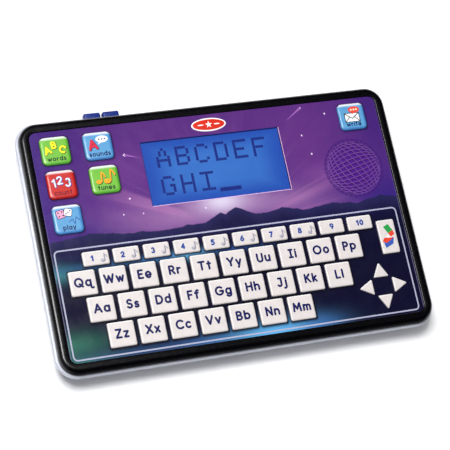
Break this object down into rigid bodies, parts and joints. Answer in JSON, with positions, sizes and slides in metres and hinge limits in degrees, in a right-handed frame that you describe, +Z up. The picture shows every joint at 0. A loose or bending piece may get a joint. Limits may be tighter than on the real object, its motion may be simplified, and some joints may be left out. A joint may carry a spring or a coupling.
{
  "type": "toy tablet computer",
  "caption": "Flat battery-powered learning toy: a slate with a letter keyboard, number keys, arrow keys, mode buttons, a dot-matrix display and a speaker.",
  "frame": {"origin": "centre of the bounding box at the surface that the feet rest on; the middle of the face panel is 2 mm towards -Y of it, because the edge buttons stand 4 mm out of the far side", "axes": "+X along the key rows from left to right, +Y to the far edge with the two edge buttons, +Z up out of the face"},
  "size_m": [0.256, 0.1728, 0.0246],
  "materials": {
    "pearl_shell": "pearl white, satin gloss",
    "black_gloss": "gloss black",
    "printed_panel": "purple and navy printed, gloss over-coat",
    "clear_lens": "clear lens",
    "display_glass": "blue backlit display",
    "board": "green solder mask",
    "silicone": "grey silicone",
    "speaker_parts": "steel basket and paper cone",
    "cells": "jacketed dry cells",
    "screw_steel": "plated steel",
    "key_white": "warm white, satin",
    "green_plastic": "green, gloss",
    "blue_plastic": "sky blue, gloss",
    "red_plastic": "red, gloss",
    "edge_blue": "royal blue, satin"
  },
  "bodies": {
    "case": {"rear_cover": "pearl_shell", "front_bezel": "black_gloss", "face_panel": "printed_panel", "lcd_window": "clear_lens", "lcd_module": "display_glass", "circuit_board": "board", "key_mat": "silicone", "speaker": "speaker_parts", "battery_set": "cells"},
    "key_q": {"key_q": "key_white"},
    "key_w": {"key_w": "key_white"},
    "key_e": {"key_e": "key_white"},
    "key_r": {"key_r": "key_white"},
    "key_t": {"key_t": "key_white"},
    "key_y": {"key_y": "key_white"},
    "key_u": {"key_u": "key_white"},
    "key_i": {"key_i": "key_white"},
    "key_o": {"key_o": "key_white"},
    "key_p": {"key_p": "key_white"},
    "key_a": {"key_a": "key_white"},
    "key_s": {"key_s": "key_white"},
    "key_d": {"key_d": "key_white"},
    "key_f": {"key_f": "key_white"},
    "key_g": {"key_g": "key_white"},
    "key_h": {"key_h": "key_white"},
    "key_j": {"key_j": "key_white"},
    "key_k": {"key_k": "key_white"},
    "key_l": {"key_l": "key_white"},
    "key_z": {"key_z": "key_white"},
    "key_x": {"key_x": "key_white"},
    "key_c": {"key_c": "key_white"},
    "key_v": {"key_v": "key_white"},
    "key_b": {"key_b": "key_white"},
    "key_n": {"key_n": "key_white"},
    "key_m": {"key_m": "key_white"},
    "key_1": {"key_1": "key_white"},
    "key_2": {"key_2": "key_white"},
    "key_3": {"key_3": "key_white"},
    "key_4": {"key_4": "key_white"},
    "key_5": {"key_5": "key_white"},
    "key_6": {"key_6": "key_white"},
    "key_7": {"key_7": "key_white"},
    "key_8": {"key_8": "key_white"},
    "key_9": {"key_9": "key_white"},
    "key_10": {"key_10": "key_white"},
    "key_erase": {"key_erase": "key_white"},
    "key_up": {"key_up": "key_white"},
    "key_left": {"key_left": "key_white"},
    "key_down": {"key_down": "key_white"},
    "key_right": {"key_right": "key_white"},
    "button_letters": {"button_letters": "green_plastic"},
    "button_phonics": {"button_phonics": "blue_plastic"},
    "button_numbers": {"button_numbers": "red_plastic"},
    "button_music": {"button_music": "green_plastic"},
    "button_games": {"button_games": "blue_plastic"},
    "button_typing": {"button_typing": "blue_plastic"},
    "power_button": {"power_button": "edge_blue"},
    "volume_button": {"volume_button": "edge_blue"},
    "battery_door": {"battery_door": "pearl_shell", "door_screw": "screw_steel"}
  },
  "joints": [
    {"name": "battery_door_lift", "type": "slide", "parent": "case", "child": "battery_door", "axis": [0, 0, -1], "range_m": [0, 0.012]},
    {"name": "power_button_press", "type": "slide", "parent": "case", "child": "power_button", "axis": [0, -1, 0], "range_m": [0, 0.0012], "stiffness_N_per_m": 500},
    {"name": "volume_button_press", "type": "slide", "parent": "case", "child": "volume_button", "axis": [0, -1, 0], "range_m": [0, 0.0012], "stiffness_N_per_m": 500},
    {"name": "button_letters_press", "type": "slide", "parent": "case", "child": "button_letters", "axis": [0, 0, -1], "range_m": [0, 0.0008], "stiffness_N_per_m": 500, "deforming": ["key_mat"]},
    {"name": "button_phonics_press", "type": "slide", "parent": "case", "child": "button_phonics", "axis": [0, 0, -1], "range_m": [0, 0.0008], "stiffness_N_per_m": 500, "deforming": ["key_mat"]},
    {"name": "button_numbers_press", "type": "slide", "parent": "case", "child": "button_numbers", "axis": [0, 0, -1], "range_m": [0, 0.0008], "stiffness_N_per_m": 500, "deforming": ["key_mat"]},
    {"name": "button_music_press", "type": "slide", "parent": "case", "child": "button_music", "axis": [0, 0, -1], "range_m": [0, 0.0008], "stiffness_N_per_m": 500, "deforming": ["key_mat"]},
    {"name": "button_games_press", "type": "slide", "parent": "case", "child": "button_games", "axis": [0, 0, -1], "range_m": [0, 0.0008], "stiffness_N_per_m": 500, "deforming": ["key_mat"]},
    {"name": "button_typing_press", "type": "slide", "parent": "case", "child": "button_typing", "axis": [0, 0, -1], "range_m": [0, 0.0008], "stiffness_N_per_m": 500, "deforming": ["key_mat"]},
    {"name": "key_up_press", "type": "slide", "parent": "case", "child": "key_up", "axis": [0, 0, -1], "range_m": [0, 0.0008], "stiffness_N_per_m": 500, "deforming": ["key_mat"]},
    {"name": "key_left_press", "type": "slide", "parent": "case", "child": "key_left", "axis": [0, 0, -1], "range_m": [0, 0.0008], "stiffness_N_per_m": 500, "deforming": ["key_mat"]},
    {"name": "key_down_press", "type": "slide", "parent": "case", "child": "key_down", "axis": [0, 0, -1], "range_m": [0, 0.0008], "stiffness_N_per_m": 500, "deforming": ["key_mat"]},
    {"name": "key_right_press", "type": "slide", "parent": "case", "child": "key_right", "axis": [0, 0, -1], "range_m": [0, 0.0008], "stiffness_N_per_m": 500, "deforming": ["key_mat"]},
    {"name": "key_erase_press", "type": "slide", "parent": "case", "child": "key_erase", "axis": [0, 0, -1], "range_m": [0, 0.0008], "stiffness_N_per_m": 500, "deforming": ["key_mat"]},
    {"name": "key_q_press", "type": "slide", "parent": "case", "child": "key_q", "axis": [0, 0, -1], "range_m": [0, 0.0008], "stiffness_N_per_m": 500, "deforming": ["key_mat"]},
    {"name": "key_w_press", "type": "slide", "parent": "case", "child": "key_w", "axis": [0, 0, -1], "range_m": [0, 0.0008], "stiffness_N_per_m": 500, "deforming": ["key_mat"]},
    {"name": "key_e_press", "type": "slide", "parent": "case", "child": "key_e", "axis": [0, 0, -1], "range_m": [0, 0.0008], "stiffness_N_per_m": 500, "deforming": ["key_mat"]},
    {"name": "key_r_press", "type": "slide", "parent": "case", "child": "key_r", "axis": [0, 0, -1], "range_m": [0, 0.0008], "stiffness_N_per_m": 500, "deforming": ["key_mat"]},
    {"name": "key_t_press", "type": "slide", "parent": "case", "child": "key_t", "axis": [0, 0, -1], "range_m": [0, 0.0008], "stiffness_N_per_m": 500, "deforming": ["key_mat"]},
    {"name": "key_y_press", "type": "slide", "parent": "case", "child": "key_y", "axis": [0, 0, -1], "range_m": [0, 0.0008], "stiffness_N_per_m": 500, "deforming": ["key_mat"]},
    {"name": "key_u_press", "type": "slide", "parent": "case", "child": "key_u", "axis": [0, 0, -1], "range_m": [0, 0.0008], "stiffness_N_per_m": 500, "deforming": ["key_mat"]},
    {"name": "key_i_press", "type": "slide", "parent": "case", "child": "key_i", "axis": [0, 0, -1], "range_m": [0, 0.0008], "stiffness_N_per_m": 500, "deforming": ["key_mat"]},
    {"name": "key_o_press", "type": "slide", "parent": "case", "child": "key_o", "axis": [0, 0, -1], "range_m": [0, 0.0008], "stiffness_N_per_m": 500, "deforming": ["key_mat"]},
    {"name": "key_p_press", "type": "slide", "parent": "case", "child": "key_p", "axis": [0, 0, -1], "range_m": [0, 0.0008], "stiffness_N_per_m": 500, "deforming": ["key_mat"]},
    {"name": "key_a_press", "type": "slide", "parent": "case", "child": "key_a", "axis": [0, 0, -1], "range_m": [0, 0.0008], "stiffness_N_per_m": 500, "deforming": ["key_mat"]},
    {"name": "key_s_press", "type": "slide", "parent": "case", "child": "key_s", "axis": [0, 0, -1], "range_m": [0, 0.0008], "stiffness_N_per_m": 500, "deforming": ["key_mat"]},
    {"name": "key_d_press", "type": "slide", "parent": "case", "child": "key_d", "axis": [0, 0, -1], "range_m": [0, 0.0008], "stiffness_N_per_m": 500, "deforming": ["key_mat"]},
    {"name": "key_f_press", "type": "slide", "parent": "case", "child": "key_f", "axis": [0, 0, -1], "range_m": [0, 0.0008], "stiffness_N_per_m": 500, "deforming": ["key_mat"]},
    {"name": "key_g_press", "type": "slide", "parent": "case", "child": "key_g", "axis": [0, 0, -1], "range_m": [0, 0.0008], "stiffness_N_per_m": 500, "deforming": ["key_mat"]},
    {"name": "key_h_press", "type": "slide", "parent": "case", "child": "key_h", "axis": [0, 0, -1], "range_m": [0, 0.0008], "stiffness_N_per_m": 500, "deforming": ["key_mat"]},
    {"name": "key_j_press", "type": "slide", "parent": "case", "child": "key_j", "axis": [0, 0, -1], "range_m": [0, 0.0008], "stiffness_N_per_m": 500, "deforming": ["key_mat"]},
    {"name": "key_k_press", "type": "slide", "parent": "case", "child": "key_k", "axis": [0, 0, -1], "range_m": [0, 0.0008], "stiffness_N_per_m": 500, "deforming": ["key_mat"]},
    {"name": "key_l_press", "type": "slide", "parent": "case", "child": "key_l", "axis": [0, 0, -1], "range_m": [0, 0.0008], "stiffness_N_per_m": 500, "deforming": ["key_mat"]},
    {"name": "key_z_press", "type": "slide", "parent": "case", "child": "key_z", "axis": [0, 0, -1], "range_m": [0, 0.0008], "stiffness_N_per_m": 500, "deforming": ["key_mat"]},
    {"name": "key_x_press", "type": "slide", "parent": "case", "child": "key_x", "axis": [0, 0, -1], "range_m": [0, 0.0008], "stiffness_N_per_m": 500, "deforming": ["key_mat"]},
    {"name": "key_c_press", "type": "slide", "parent": "case", "child": "key_c", "axis": [0, 0, -1], "range_m": [0, 0.0008], "stiffness_N_per_m": 500, "deforming": ["key_mat"]},
    {"name": "key_v_press", "type": "slide", "parent": "case", "child": "key_v", "axis": [0, 0, -1], "range_m": [0, 0.0008], "stiffness_N_per_m": 500, "deforming": ["key_mat"]},
    {"name": "key_b_press", "type": "slide", "parent": "case", "child": "key_b", "axis": [0, 0, -1], "range_m": [0, 0.0008], "stiffness_N_per_m": 500, "deforming": ["key_mat"]},
    {"name": "key_n_press", "type": "slide", "parent": "case", "child": "key_n", "axis": [0, 0, -1], "range_m": [0, 0.0008], "stiffness_N_per_m": 500, "deforming": ["key_mat"]},
    {"name": "key_m_press", "type": "slide", "parent": "case", "child": "key_m", "axis": [0, 0, -1], "range_m": [0, 0.0008], "stiffness_N_per_m": 500, "deforming": ["key_mat"]},
    {"name": "key_1_press", "type": "slide", "parent": "case", "child": "key_1", "axis": [0, 0, -1], "range_m": [0, 0.0008], "stiffness_N_per_m": 500, "deforming": ["key_mat"]},
    {"name": "key_2_press", "type": "slide", "parent": "case", "child": "key_2", "axis": [0, 0, -1], "range_m": [0, 0.0008], "stiffness_N_per_m": 500, "deforming": ["key_mat"]},
    {"name": "key_3_press", "type": "slide", "parent": "case", "child": "key_3", "axis": [0, 0, -1], "range_m": [0, 0.0008], "stiffness_N_per_m": 500, "deforming": ["key_mat"]},
    {"name": "key_4_press", "type": "slide", "parent": "case", "child": "key_4", "axis": [0, 0, -1], "range_m": [0, 0.0008], "stiffness_N_per_m": 500, "deforming": ["key_mat"]},
    {"name": "key_5_press", "type": "slide", "parent": "case", "child": "key_5", "axis": [0, 0, -1], "range_m": [0, 0.0008], "stiffness_N_per_m": 500, "deforming": ["key_mat"]},
    {"name": "key_6_press", "type": "slide", "parent": "case", "child": "key_6", "axis": [0, 0, -1], "range_m": [0, 0.0008], "stiffness_N_per_m": 500, "deforming": ["key_mat"]},
    {"name": "key_7_press", "type": "slide", "parent": "case", "child": "key_7", "axis": [0, 0, -1], "range_m": [0, 0.0008], "stiffness_N_per_m": 500, "deforming": ["key_mat"]},
    {"name": "key_8_press", "type": "slide", "parent": "case", "child": "key_8", "axis": [0, 0, -1], "range_m": [0, 0.0008], "stiffness_N_per_m": 500, "deforming": ["key_mat"]},
    {"name": "key_9_press", "type": "slide", "parent": "case", "child": "key_9", "axis": [0, 0, -1], "range_m": [0, 0.0008], "stiffness_N_per_m": 500, "deforming": ["key_mat"]},
    {"name": "key_10_press", "type": "slide", "parent": "case", "child": "key_10", "axis": [0, 0, -1], "range_m": [0, 0.0008], "stiffness_N_per_m": 500, "deforming": ["key_mat"]}
  ]
}
